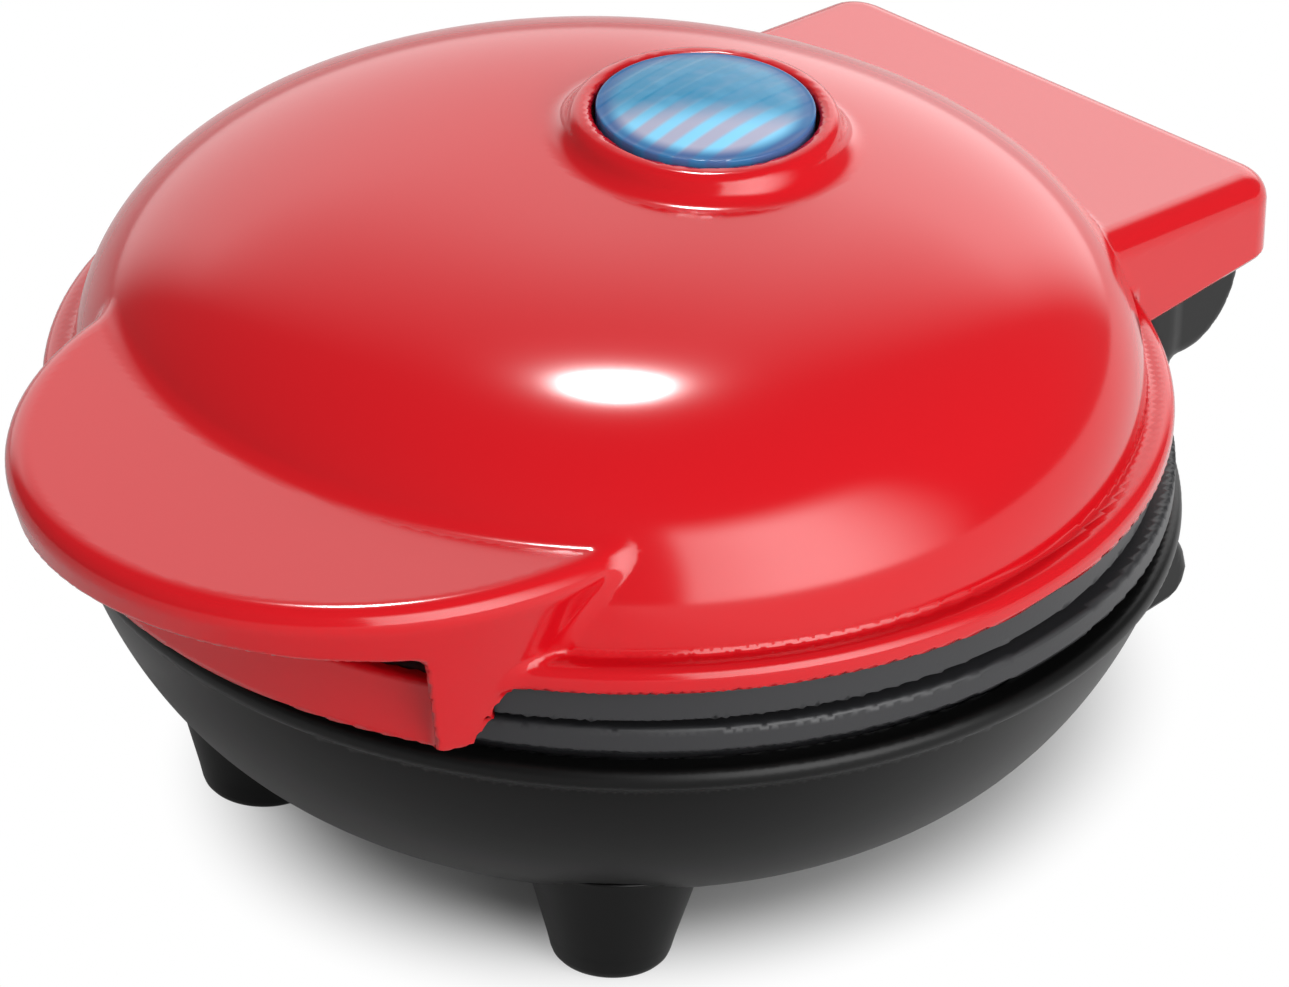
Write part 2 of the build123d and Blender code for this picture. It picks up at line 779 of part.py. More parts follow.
# Posts, pedestal and stops on the floor of the bowl
with BuildPart() as furniture:
    with BuildSketch(Plane.XY.offset(bowl_floor_z)):
        with Locations(*boss_spots()):
            RegularPolygon(base_post_radius, small_sides)
    extrude(amount=lower_shield_z - bowl_floor_z)
    with Locations((0, block_y, bowl_floor_z)):
        Box(24, 13, block_foot_z - bowl_floor_z, align=low)
    add(bowl_outside.part, mode=Mode.INTERSECT)

# Base shell: bowl, lip, tower and barrel as one moulding
with BuildPart() as base_shell:
    add(bowl_outside.part)
    with BuildSketch(base_side):
        Polygon(
            (lip_radius - 6, lip_foot_z),
            (lip_radius - lip_round, lip_foot_z),
            (lip_radius, lip_foot_z + lip_round),
            (lip_radius, lip_top_z - lip_round),
            (lip_radius - lip_round, lip_top_z),
            (lip_radius - 6, lip_top_z),
            align=None,
        )
    revolve(axis=base_axis)
    add(tower.part)
    add(bowl_inside, mode=Mode.SUBTRACT)
    # Room for the lid above the lip, and the trough between the two halves of the barrel
    with Locations((0, base_y, lip_top_z)):
        Cylinder(clear_radius, 30, align=low, mode=Mode.SUBTRACT)
    with Locations((0, hinge_y, lip_top_z - 0.3)):
        Box(2 * trough_half_width, 26, 20, align=low, mode=Mode.SUBTRACT)
    add(furniture.part)
    # Ways for the wires: from the inlet to the bowl, and up behind the lip to the lid
    with BuildSketch(Plane.YZ.offset(-wire_way_half_width)):
        Polygon(*wire_way, align=None)
    extrude(amount=2 * wire_way_half_width, mode=Mode.SUBTRACT)
    with Locations((0, wire_slot_y, wire_slot_foot_z)):
        Box(2 * wire_way_half_width, wire_gap, wire_slot_height, align=low, mode=Mode.SUBTRACT)
    with Locations((0, wire_slot_y - 2.8, wire_slot_foot_z)):
        Box(2 * wire_way_half_width, wire_slot_depth, wire_gap, align=low, mode=Mode.SUBTRACT)
    # Seat and hole of the cord inlet
    with BuildSketch(rear_face):
        RegularPolygon(inlet_flange_radius + 0.8, round_sides)
    extrude(amount=inlet_seat_depth)
    with BuildSketch(rear_face):
        RegularPolygon(inlet_radius, round_sides)
    extrude(amount=inlet_hole_depth, mode=Mode.SUBTRACT)
    # Bores of the hinge pins, seats of the pads and holes of the feet and the screws
    with Locations(Location((0, hinge_y, hinge_z), (0, 90, 0))):
        Cylinder(pin_radius, 2 * pin_end_x, mode=Mode.SUBTRACT)
    with BuildSketch(Plane.XY.offset(stand_bottom_z)):
        with Locations((pad_x, pad_y), (-pad_x, pad_y)):
            RegularPolygon(pad_radius, round_sides)
    extrude(amount=pad_height - stand_bottom_z, mode=Mode.SUBTRACT)
    for socket in feet:
        add(socket, mode=Mode.SUBTRACT)
    for radius, foot_z, depth in (
        (screw_head_radius + 0.3, bowl_floor_z, screw_seat_z - bowl_floor_z),
        (screw_radius, screw_seat_z, base_post_reach),
    ):
        with BuildSketch(Plane.XY.offset(foot_z)):
            with Locations(*boss_spots()):
                RegularPolygon(radius, small_sides)
        extrude(amount=depth, mode=Mode.SUBTRACT)
save(base_shell.part, "base_shell")

for foot, name in zip(feet, ("front_foot_left", "front_foot_right")):
    save(foot, name)

# Pads under the rear stand
with BuildPart() as pads:
    with BuildSketch():
        with Locations((pad_x, pad_y), (-pad_x, pad_y)):
            RegularPolygon(pad_radius, round_sides)
    extrude(amount=pad_height)
save(pads.part, "rear_pads")

# Hinge pins, pressed into the barrel, each with a head in the trough
for side, name in ((-1, "hinge_pin_left"), (1, "hinge_pin_right")):
    with BuildPart() as pin:
        with BuildSketch(Plane.YZ.offset(side * pin_end_x)):
            with Locations((hinge_y, hinge_z)):
                Circle(pin_radius)
        extrude(amount=-side * (pin_end_x - pin_head_x))
        with BuildSketch(Plane.YZ.offset(side * pin_head_x)):
            with Locations((hinge_y, hinge_z)):
                RegularPolygon(pin_head_radius, small_sides)
        extrude(amount=-side * pin_head_depth)
    save(pin.part, name)

# Bush of the cord inlet
with BuildPart() as inlet:
    with BuildSketch(rear_face):
        RegularPolygon(inlet_radius, round_sides)
    extrude(amount=inlet_neck)
    with BuildSketch(rear_face):
        RegularPolygon(inlet_flange_radius, round_sides)
    extrude(amount=-inlet_flange)
    with Locations(Location((0, inlet_seat_y, inlet_z), (90, 0, 0))):
        Cylinder(inlet_bore_radius, 4 * inlet_neck, mode=Mode.SUBTRACT)
save(inlet.part, "cord_inlet")

# Screws that come up through the posts into the lower plate
save(screw(boss_spots(), screw_seat_z - 2, 2, lower_back_z - 1), "lower_plate_screws")

# Thermostat under the middle of the lower plate, and the clip that holds it
with BuildPart() as thermostat:
    for radius, height in (
        (thermostat_flange_radius, thermostat_flange),
        (thermostat_radius, thermostat_height),
    ):
        with BuildSketch(Plane.XY.offset(lower_back_z)):
            with Locations((0, pan_y)):
                RegularPolygon(radius, round_sides)
        extrude(amount=-height)
    with Locations((0, pan_y, lower_back_z - thermostat_height - 4)):
        with GridLocations(9, 1, 2, 1):
            Box(tab_skin, tab_width, 4.5, align=low)
save(thermostat.part, "thermostat")

with BuildPart() as clip:
    with BuildSketch(Plane.XY.offset(lower_back_z - thermostat_flange)):
        with Locations((0, pan_y)):
            Rectangle(8, clip_length)
            RegularPolygon(thermostat_radius + 2.5, round_sides)
            RegularPolygon(thermostat_radius + 0.2, round_sides, mode=Mode.SUBTRACT)
    extrude(amount=-1)
    with BuildSketch(Plane.XY.offset(lower_back_z)):
        with Locations((0, pan_y)):
            with GridLocations(1, clip_length - 7, 1, 2):
                RegularPolygon(screw_radius, small_sides)
    extrude(amount=-thermostat_flange)
save(clip.part, "thermostat_clip")

# Thermal fuse on the back of the lower plate
with BuildPart() as fuse:
    for radius, length in ((fuse_radius, fuse_length), (0.6, fuse_length + 8)):
        middle = Plane(origin=(16, 14, lower_back_z - fuse_radius), x_dir=(1, 0, 0), z_dir=(0, -1, 0))
        with BuildSketch(middle):
            RegularPolygon(radius, small_sides)
        extrude(amount=length / 2, both=True)
save(fuse.part, "thermal_fuse")

# Terminal block on its pedestal
with BuildPart() as block:
    with Locations((0, block_y, block_foot_z)):
        Box(18, 10, 9, align=low)
    with Locations((0, block_y, block_foot_z + 4)):
        with GridLocations(8, 1, 2, 1):
            Box(5, 12, 4, mode=Mode.SUBTRACT)
    with BuildSketch(Plane.XY.offset(block_foot_z + 5)):
        with Locations((0, block_y)):
            with GridLocations(8, 4, 2, 2):
                RegularPolygon(1.2, 8)
    extrude(amount=6, mode=Mode.SUBTRACT)
save(block.part, "terminal_block")


def wire(*points):
    """One insulated wire in straight runs, with a six-sided section."""
    with BuildPart() as run:
        with BuildLine() as path:
            Polyline(*points)
        with BuildSketch(path.line ^ 0):
            RegularPolygon(wire_radius, 6)
        sweep(transition=Transition.RIGHT)
    return run.part


# Wires from the inlet to the block, up to the heater and the thermostat, and on towards the lid
with BuildPart() as base_leads:
    for side in (1, -1):
        inlet_way = [(2, 68, inlet_z), (2, 65, inlet_z), (2, 59.5, 25.4), (2, 54, 25.4), (3.5, 47.6, 20)]
        heater_way = [(4, 36.8, 20), (6, 33, 24), (5.5, 36.5, 28), (5.2, 40.5, 29.6)]
        lid_way = [(1.5, 55, 30.2), (1.6, 62.9, 30.9), (2, 64.7, 33.5), (2, 64.7, 36.6), (2, 66.6, 41.5)]
        for way in (inlet_way, heater_way, lid_way):
            add(wire(*[(x * side, y, z) for x, y, z in way]))
save(base_leads.part, "base_leads")

# Wires inside the lid, from the hinge to the heater and the lamps
with BuildPart() as lid_leads:
    for side in (1, -1):
        heater_way = [(2, 66.9, 49.5), (2.4, 64.5, 53.2), (3, 58, 54.6), (4.5, 49, 57.6), (5.2, 43, 58.6)]
        lamp_way = [(5, 62, 54.2), (5, 56, 55.6), (4, 51, 59.5), (4, 40, 63.5), (4, 20, 65)]
        for way in (heater_way, lamp_way):
            add(wire(*[(x * side, y, z) for x, y, z in way]))
save(lid_leads.part, "lid_leads")
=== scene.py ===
# %% [markdown]
# # A mini waffle maker, from fields to finished picture
#
# The CAD model gives the true sizes and the moving parts. This script gives it its looks.
# Each moulded piece is described by a *field*: a function of position that is negative inside
# the material, zero on its skin and positive outside. Fields are joined and cut with rounded
# operators, so every fillet of the real mouldings comes from one number.

import math

import bpy
import numpy as np
from mathutils import Matrix, Vector


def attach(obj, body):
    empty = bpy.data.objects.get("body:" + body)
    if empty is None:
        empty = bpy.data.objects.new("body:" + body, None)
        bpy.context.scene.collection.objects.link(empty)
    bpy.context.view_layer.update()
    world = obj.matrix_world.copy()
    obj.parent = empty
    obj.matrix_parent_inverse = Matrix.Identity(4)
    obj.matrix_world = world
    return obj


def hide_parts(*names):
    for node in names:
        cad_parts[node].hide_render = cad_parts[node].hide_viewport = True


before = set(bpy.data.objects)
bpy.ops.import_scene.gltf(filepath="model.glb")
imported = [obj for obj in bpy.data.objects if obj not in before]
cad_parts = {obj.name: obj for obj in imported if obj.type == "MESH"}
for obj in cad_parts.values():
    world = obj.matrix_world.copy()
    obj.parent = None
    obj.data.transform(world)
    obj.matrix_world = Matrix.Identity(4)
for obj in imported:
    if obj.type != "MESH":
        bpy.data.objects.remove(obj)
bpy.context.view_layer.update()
print("CAD pieces:", len(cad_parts))

# %% [markdown]
# ## Shared sizes
#
# Lengths and places of the pieces are millimetres in the frame of the CAD model: the origin is on
# the table below the axis of the dome, +Y points to the hinge and +Z points up. `slant` scales the
# distance to a wall that is measured level although the wall leans.

# %% Shared sizes
widest_radius = 63.5
flange_z = 49.3
bowl_y = 2.5
plates_y = 1.25
lens_y = 15.4
hinge_y, hinge_z = 69.8, 45.5
foot_x, foot_y = 25.9, -28.1
slant = 0.95
grid_step = 0.8
print("widest ring:", 2.0 * widest_radius, "mm")

# %% [markdown]
# ## Rounded joining and cutting
#
# `meet` keeps what is inside both fields, `join` what is inside either and `cut` what is inside the
# first but not the second. The radius rounds the edge or fillets the corner where two skins cross.

# %% Field operators


def meet(first, second, radius):
    """Intersection with a rounded edge: |max(first + r, second + r, 0)| + min(max(first, second), -r)."""
    across = np.maximum(first + radius, 0.0)
    along = np.maximum(second + radius, 0.0)
    return np.hypot(across, along) + np.minimum(np.maximum(first, second), -radius)


def join(first, second, radius):
    """Union with a fillet: the intersection of the two outsides, turned inside out."""
    return -meet(-first, -second, radius)


def cut(first, second, radius):
    """What is inside the first field and outside the second, with a rounded edge."""
    return meet(first, -second, radius)


# %% [markdown]
# ## Building blocks
#
# The dome and the bowl are both superellipsoids, (r / R)^p + (h / H)^q = 1. Dividing the left side
# minus one by the length of its gradient turns it into a good estimate of distance near the skin,
# which the rounded operators need.

# %% Building blocks
tiny = 1e-9


def superdome(radial, height, radius, rise, side_power, crown_power):
    """Signed distance to (r/R)^p + (h/H)^q = 1, estimated as g / |grad g| with g the left side minus 1."""
    out = np.abs(radial) / radius
    up = np.maximum(height, 0.0) / rise
    value = out**side_power + up**crown_power - 1.0
    slope_out = side_power / radius * out ** (side_power - 1.0)
    slope_up = crown_power / rise * up ** (crown_power - 1.0)
    least_slope = 1e-3
    return value / (np.hypot(slope_out, slope_up) + least_slope)


def ellipse(x, y, half_width, half_depth):
    """Signed distance to the ellipse e = 1, estimated as (e - 1) / |grad e| with e^2 = (x/a)^2 + (y/b)^2."""
    level = np.sqrt((x / half_width) ** 2 + (y / half_depth) ** 2) + tiny
    slope = np.hypot(x / half_width**2, y / half_depth**2) / level + tiny
    return (level - 1.0) / slope


def slab(value, low, high):
    """Signed distance to the layer low < value < high."""
    return np.abs(value - 0.5 * (low + high)) - 0.5 * (high - low)


def polygon(x, y, corners):
    """Signed distance to a convex polygon: the largest of the distances to its edge lines."""
    result = None
    for (x0, y0), (x1, y1) in zip(corners, corners[1:] + corners[:1]):
        length = math.hypot(x1 - x0, y1 - y0)
        side = ((x - x0) * (y1 - y0) - (y - y0) * (x1 - x0)) / length
        result = side if result is None else np.maximum(result, side)
    return result


def at_height(z, outline):
    """Value at height z on the line through an outline's (height, value) points."""
    heights, values = zip(*outline)
    return np.interp(z, heights, values)


# %% [markdown]
# ## From a field to a mesh
#
# `contour` samples a field on a grid, puts one vertex in each cell that the skin passes through and
# one face across each grid edge that it crosses. Newton steps then move each vertex onto the exact
# skin, and the gradient there gives the exact normal, so even a modest grid shades smoothly.

# %% Contouring


def gradient(field, points, reach):
    """Gradient of a field at points by central differences: (f(p + e) - f(p - e)) / 2e on each axis."""
    slopes = []
    for axis in range(3):
        ahead, behind = points.copy(), points.copy()
        ahead[:, axis] += reach
        behind[:, axis] -= reach
        slopes.append((field(*ahead.T) - field(*behind.T)) / (2.0 * reach))
    return np.stack(slopes, axis=1)


def settle(field, points, reach, steps):
    """Newton steps p <- p - f grad f / |grad f|^2, each no longer than the reach."""
    for _ in range(steps):
        value = field(*points.T)
        slope = gradient(field, points, reach=0.02)
        move = slope * (value / (np.sum(slope**2, axis=1) + tiny))[:, None]
        length = np.linalg.norm(move, axis=1, keepdims=True)
        points = points - move * np.minimum(1.0, reach / (length + tiny))
    return points


def relax(points, faces):
    """Moves each vertex to the mean of its faces' middles, which evens out the mesh."""
    middles = points[faces].mean(axis=1)
    total = np.zeros_like(points)
    share = np.zeros(len(points))
    for corner in range(4):
        np.add.at(total, faces[:, corner], middles)
        np.add.at(share, faces[:, corner], 1.0)
    return np.where(share[:, None] > 0, total / np.maximum(share, 1.0)[:, None], points)


def crossing_faces(inside, number, axis):
    """Quads across the grid edges along one axis whose two ends lie on different sides of the skin."""
    shape = inside.shape
    side, rear = (axis + 1) % 3, (axis + 2) % 3
    first = np.take(inside, np.arange(shape[axis] - 1), axis=axis)
    second = np.take(inside, np.arange(1, shape[axis]), axis=axis)
    edge = np.argwhere(first != second)
    keep = (edge[:, side] > 0) & (edge[:, rear] > 0)
    keep &= (edge[:, side] < shape[side] - 1) & (edge[:, rear] < shape[rear] - 1)
    edge = edge[keep]
    ring = []
    for back_side, back_rear in ((0, 0), (1, 0), (1, 1), (0, 1)):
        cell = edge.copy()
        cell[:, side] -= back_side
        cell[:, rear] -= back_rear
        ring.append(number[tuple(cell.T)])
    quads = np.stack(ring, axis=1)
    turned_over = ~first[tuple(edge.T)]
    quads[turned_over] = quads[turned_over][:, ::-1]
    return quads


def contour(field, low, high, step):
    """Vertices, quads and normals of the skin field = 0 inside the box low..high, on a grid of that step."""
    axes = [np.arange(a, b + step, step) for a, b in zip(low, high)]
    shape = tuple(len(axis) for axis in axes)
    grid = np.broadcast_to(field(*np.meshgrid(*axes, indexing="ij", sparse=True)), shape)
    inside = grid < 0.0
    corners = sum(
        inside[i : shape[0] - 1 + i, j : shape[1] - 1 + j, k : shape[2] - 1 + k].astype(np.int8)
        for i in (0, 1)
        for j in (0, 1)
        for k in (0, 1)
    )
    mixed = (corners > 0) & (corners < 8)
    number = np.full(mixed.shape, -1, np.int64)
    number[mixed] = np.arange(np.count_nonzero(mixed))
    cells = np.argwhere(mixed)
    points = np.stack([axes[a][cells[:, a]] + 0.5 * step for a in range(3)], axis=1)
    faces = np.concatenate([crossing_faces(inside, number, axis) for axis in range(3)])
    points = settle(field, points, step, steps=3)
    for _ in range(2):
        points = settle(field, relax(points, faces), 0.5 * step, steps=2)
    normals = gradient(field, points, reach=0.05)
    normals /= np.linalg.norm(normals, axis=1, keepdims=True) + tiny
    return points, faces, normals


def mesh_object(name, points, faces, normals=None):
    """A Blender object from arrays in millimetres, filled with foreach_set."""
    metres = (np.asarray(points) * 0.001).astype(np.float32)
    mesh = bpy.data.meshes.new(name)
    mesh.vertices.add(len(points))
    mesh.vertices.foreach_set("co", metres.ravel())
    mesh.loops.add(faces.size)
    mesh.loops.foreach_set("vertex_index", faces.astype(np.int32).ravel())
    mesh.polygons.add(len(faces))
    mesh.polygons.foreach_set("loop_start", np.arange(0, faces.size, faces.shape[1], dtype=np.int32))
    mesh.polygons.foreach_set("use_smooth", np.ones(len(faces), bool))
    mesh.update(calc_edges=True)
    mesh.validate()
    if normals is not None:
        mesh.normals_split_custom_set_from_vertices(normals.astype(np.float32))
    thing = bpy.data.objects.new(name, mesh)
    bpy.context.scene.collection.objects.link(thing)
    print(f"{name}: {len(points)} vertices, {len(faces)} faces")
    return thing


def hang(thing, body, node):
    """Hangs a mesh on its CAD body and hides the CAD node that it stands for."""
    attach(thing, body)
    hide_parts(node)
    return thing


def moulding(name, field, box, body, node):
    """Contours a field inside a box (low, high) and hangs the mesh on its CAD body."""
    thing = mesh_object(name, *contour(field, *box, grid_step))
    return hang(thing, body, node)


# %% [markdown]
# ## The red lid
#
# Dome, flange, collar, grip and hinge cover are one moulding. The dome meets the flange in a fine
# crease, the collar flares out of the dome, and the grip is an ellipse that widens upwards. Each
# part has its own field, and `lid_field` joins them in the order in which they overlap.

# %% Sizes of the lid
lid_wall = 2.2
dome_foot_z, dome_radius, dome_rise, dome_inside_rise = 49.89, 60.3, 27.09, 24.9
flange_top_z = 52.4
grip_y, grip_under_z, grip_top_z = -40.3, 41.0, 64.2
grip_half_width, grip_widening, grip_half_depth, grip_deepening = 31.4, 7.4, 37.4, 7.2
grip_wall, grip_room_z, grip_ceiling_z, grip_mouth_z = 2.4, 49.4, 62.0, 60.0
cover_half_width, cover_front_y, cover_rear_y = 32.0, 40.0, 82.4
cover_under_z, cover_rear_z, cover_slope = 46.4, 56.2, math.radians(8.0)
cover_room_y = 50.0
lug_radius, lug_inner_x, lug_outer_x = 6.0, 14.9, 18.6
collar_radius, collar_foot_z, collar_top_z = 15.2, 66.5, 79.8
lens_bore_radius, lens_bore_z = 12.8, 60.0
plate_room_radius = 62.4
recess_radius, recess_angle = 64.6, math.radians(23.7)
recess_ceiling_z, recess_arch, recess_half_width = 58.3, 2.0, 30.0

# %% Red lid


def dome_field(radial, z, radius, rise):
    """Field of a dome that is steep at its side and nearly flat on top."""
    return superdome(radial, z - dome_foot_z, radius, rise, side_power=3.25, crown_power=2.64)


def grip_field(x, y, z):
    """Field of the solid grip: an ellipse that widens from its underside to its top."""
    rise = (z - grip_under_z) / (grip_top_z - grip_under_z)
    half_width = grip_half_width + grip_widening * rise
    half_depth = grip_half_depth + grip_deepening * rise
    grip = slant * ellipse(x, y - grip_y, half_width, half_depth)
    grip = meet(grip, z - grip_top_z, radius=3.2)
    return meet(grip, grip_under_z - z, radius=0.6)


def cover_field(x, y, z):
    """Field of the hinge cover: a box with a roof that slopes to the rear, open underneath."""
    roof = (z - cover_rear_z - (cover_rear_y - y) * math.tan(cover_slope)) * math.cos(cover_slope)
    walls = meet(np.abs(x) - cover_half_width, y - cover_rear_y, radius=5.0)
    solid = np.maximum(meet(walls, roof, radius=3.3), cover_front_y - y)
    solid = meet(solid, cover_under_z - z, radius=0.5)
    room = meet(np.abs(x) - (cover_half_width - lid_wall), y - (cover_rear_y - lid_wall), radius=2.8)
    room = meet(room, roof + lid_wall, radius=1.0)
    return cut(solid, np.maximum(room, cover_room_y - y), radius=0.4)


def lug_field(x, y, z):
    """Field of the two lugs that turn on the hinge pins: an eye and the web that holds it."""
    web = [(63.6, 45.0), (74.8, 45.5), (74.2, 56.5), (56.8, 58.5), (56.8, 50.0), (61.6, 49.4)]
    eye = np.hypot(y - hinge_y, z - hinge_z) - lug_radius
    lug = np.minimum(eye, polygon(y, z, web))
    return meet(lug, slab(np.abs(x), lug_inner_x, lug_outer_x), radius=0.3)


def lid_room(radial, z, grip):
    """Field of the hollow under the dome and inside the grip."""
    under_dome = dome_field(radial, z, dome_radius - lid_wall, dome_inside_rise)
    in_grip = meet(grip + grip_wall, z - grip_ceiling_z, radius=0.5)
    in_grip = np.maximum(in_grip, grip_room_z - z)
    in_grip = np.maximum(in_grip, np.minimum(radial - plate_room_radius, z - grip_mouth_z))
    return np.minimum(under_dome, in_grip)


def recess_field(x, y, z, radial):
    """Field of the finger recess below the grip: a wedge outside the skirt, with an arched ceiling."""
    side = np.abs(x) * math.cos(recess_angle) + y * math.sin(recess_angle)
    ceiling = z - (recess_ceiling_z - recess_arch * (x / recess_half_width) ** 2)
    recess = meet(meet(recess_radius - radial, side, radius=1.2), ceiling, radius=1.2)
    return np.maximum(recess, y)


def lid_field(x, y, z):
    """Field of the red lid: joined solids, less the space inside, the lens bore and the finger recess."""
    radial = np.hypot(x, y)
    grip = grip_field(x, y, z)
    dome = meet(dome_field(radial, z, dome_radius, dome_rise), flange_z - z, radius=0.2)
    flange = meet(radial - widest_radius, z - flange_top_z, radius=1.5)
    flange = meet(flange, flange_z - z, radius=0.5)
    body = join(dome, flange, radius=0.5)
    body = join(body, grip, radius=1.2)
    body = join(body, cover_field(x, y, z), radius=0.8)
    body = join(body, lug_field(x, y, z), radius=0.4)
    body = cut(body, lid_room(radial, z, grip), radius=0.3)
    body = cut(body, np.maximum(radial - plate_room_radius, z - flange_z), radius=0.4)

    from_lens = np.hypot(x, y - lens_y)
    collar = meet(from_lens - collar_radius, z - collar_top_z, radius=1.3)
    collar = meet(collar, collar_foot_z - z, radius=0.3)
    body = join(body, collar, radius=3.0)
    body = cut(body, np.maximum(from_lens - lens_bore_radius, lens_bore_z - z), radius=0.5)
    return cut(body, recess_field(x, y, z, radial), radius=0.7)


lid_box = ((-64.5, -85.5, 38.5), (64.5, 83.0, 82.0))
lid = moulding("red_lid", lid_field, lid_box, "lid", "lid_shell")

# %% [markdown]
# ## The black base
#
# A bowl with a lip bead, and a flared stand at the rear that carries the hinge barrel. The stand's
# outlines are (height, place) points, read off by height.

# %% Sizes of the base
base_wall = 2.4
bowl_underside_z, bowl_top_z, bowl_rim_z = 7.4, 36.0, 37.0
bowl_radius, bowl_depth = 62.4, 29.8
lip_low_z, lip_high_z, lip_inner_radius = 35.4, 38.3, 57.0
stand_foot_z, stand_half_width, barrel_radius = 0.6, 29.3, 9.0
stand_front = [(0.6, 60.5), (19.0, 57.0), (46.0, 57.0)]
stand_side = [(0.6, 26.6), (40.0, stand_half_width), (60.0, stand_half_width)]
stand_flare = [(0.6, 73.9), (2.0, 75.8), (3.8, 76.2), (6.5, 75.2), (9.4, 73.2), (13.0, 73.0)]
stand_back = [(16.0, 72.5), (19.0, 71.7), (22.0, 70.5), (25.0, 69.4), (28.0, 68.3), (31.0, 67.7)]
stand_neck = [(34.5, 67.4), (46.0, 67.4)]
lid_room_radius, lid_room_z = 63.3, 38.4
trough_half_width, trough_front_y, trough_z = 19.2, 56.0, 38.0
slot_half_width, slot_front_y, slot_rear_y, slot_z = 5.0, 62.8, 66.4, 29.0
screw_circle, screw_well_radius, screw_well_z = 27.0, 3.0, 16.0
screw_angles = np.radians((90.0, 210.0, 330.0))
inlet_z, inlet_seat_radius, inlet_bore_radius = 16.0, 6.6, 4.5
inlet_seat_y, inlet_bore_y = (69.0, 73.4), 66.0
foot_low_z, foot_low_radius, foot_high_z, foot_high_radius = 1.1, 6.7, 17.0, 11.2
foot_seat_z, foot_seat_slope = 11.95, 6.7 / 20.0
foot_slant, foot_clearance = 0.96, 0.05

# %% Black base


def foot_radius(z):
    """Radius of a front foot at height z, a straight taper."""
    taper = (foot_high_radius - foot_low_radius) / (foot_high_z - foot_low_z)
    return foot_low_radius + (z - foot_low_z) * taper


def foot_seat(x, y):
    """Height of the slanting plane that a foot ends on, which rises outwards from the bowl's axis."""
    behind = bowl_y - foot_y
    outward = (foot_x * (np.abs(x) - foot_x) - behind * (y - foot_y)) / math.hypot(foot_x, behind)
    return foot_seat_z + foot_seat_slope * outward


def bowl_field(radial, z, wall):
    """Field of the bowl's outside moved inwards by a wall, before its floor is cut flat."""
    radius, depth = bowl_radius - wall, bowl_depth - wall
    return superdome(radial, bowl_top_z - z, radius, depth, side_power=4.9, crown_power=1.2)


def stand_field(x, y, z):
    """Field of the rear stand and of the hinge barrel on top of it."""
    rear = y - at_height(z, stand_flare + stand_back + stand_neck)
    side = np.abs(x) - at_height(z, stand_side)
    front = at_height(z, stand_front) - y
    stand = meet(meet(slant * rear, side, radius=2.0), front, radius=1.0)
    stand = meet(meet(stand, stand_foot_z - z, radius=0.4), z - hinge_z, radius=0.4)
    barrel = np.hypot(y - hinge_y, z - hinge_z) - barrel_radius
    barrel = meet(barrel, np.abs(x) - stand_half_width, radius=1.4)
    return join(stand, barrel, radius=1.0)


def base_field(x, y, z):
    """Field of the base: bowl, lip and stand, less the space inside and the room for the lid."""
    radial = np.hypot(x, y - bowl_y)
    bowl = meet(bowl_field(radial, z, wall=0.0), bowl_underside_z - z, radius=0.8)
    bowl = meet(bowl, z - bowl_rim_z, radius=0.2)
    lip = meet(radial - widest_radius, z - lip_high_z, radius=1.35)
    lip = meet(lip, lip_low_z - z, radius=1.35)
    body = join(bowl, np.maximum(lip, lip_inner_radius - radial), radius=0.4)
    body = join(body, stand_field(x, y, z), radius=0.6)

    room = np.maximum(bowl_field(radial, z, base_wall), bowl_underside_z + base_wall - z)
    body = cut(body, room, radius=0.4)
    above = np.maximum(radial - lid_room_radius, lid_room_z - z)
    trough = np.maximum(np.abs(x) - trough_half_width, trough_z - z)
    trough = np.maximum(trough, trough_front_y - y)
    body = cut(body, np.minimum(above, trough), radius=0.4)
    slot = np.maximum(np.abs(x) - slot_half_width, slot_z - z)
    slot = np.maximum(slab(y, slot_front_y, slot_rear_y), slot)
    body = cut(body, slot, radius=0.3)
    for angle in screw_angles:
        screw_x, screw_y = screw_circle * np.cos(angle), bowl_y + screw_circle * np.sin(angle)
        from_screw = np.hypot(x - screw_x, y - screw_y)
        body = cut(body, np.maximum(from_screw - screw_well_radius, z - screw_well_z), radius=0.3)

    from_foot = np.hypot(np.abs(x) - foot_x, y - foot_y)
    socket = foot_slant * (from_foot - foot_radius(z) - foot_clearance)
    body = cut(body, np.maximum(socket, z - foot_seat(x, y)), radius=0.35)
    from_inlet = np.hypot(x, z - inlet_z)
    body = join(body, meet(from_inlet - inlet_seat_radius, slab(y, *inlet_seat_y), radius=0.4), radius=0.5)
    return cut(body, np.maximum(from_inlet - inlet_bore_radius, inlet_bore_y - y), radius=0.3)


base_box = ((-64.5, -62.0, -0.5), (64.5, 80.5, 55.5))
base = moulding("black_base", base_field, base_box, "base", "base_shell")

# %% [markdown]
# ## Turned pieces
#
# The lens and the feet are profiles turned about an axis. A profile is a line of (radius, height)
# points from the axis underneath to the axis on top.

# %% Turned pieces
pole_radius = 1e-3


def rounded(corners, radius, steps=5):
    """Profile through corners (r, z) with each inner corner replaced by an arc-like quadratic curve.

    Each corner P becomes (1-t)^2 A + 2t(1-t) P + t^2 B, with A and B the radius away along its two edges.
    """
    corners = np.asarray(corners, float)
    path = [corners[0]]
    for before, corner, after in zip(corners[:-2], corners[1:-1], corners[2:]):
        back, ahead = before - corner, after - corner
        reach = min(radius, 0.45 * np.linalg.norm(back), 0.45 * np.linalg.norm(ahead))
        start = corner + back / np.linalg.norm(back) * reach
        end = corner + ahead / np.linalg.norm(ahead) * reach
        for t in np.linspace(0.0, 1.0, steps):
            path.append((1 - t) ** 2 * start + 2 * t * (1 - t) * corner + t**2 * end)
    path.append(corners[-1])
    return np.array(path)


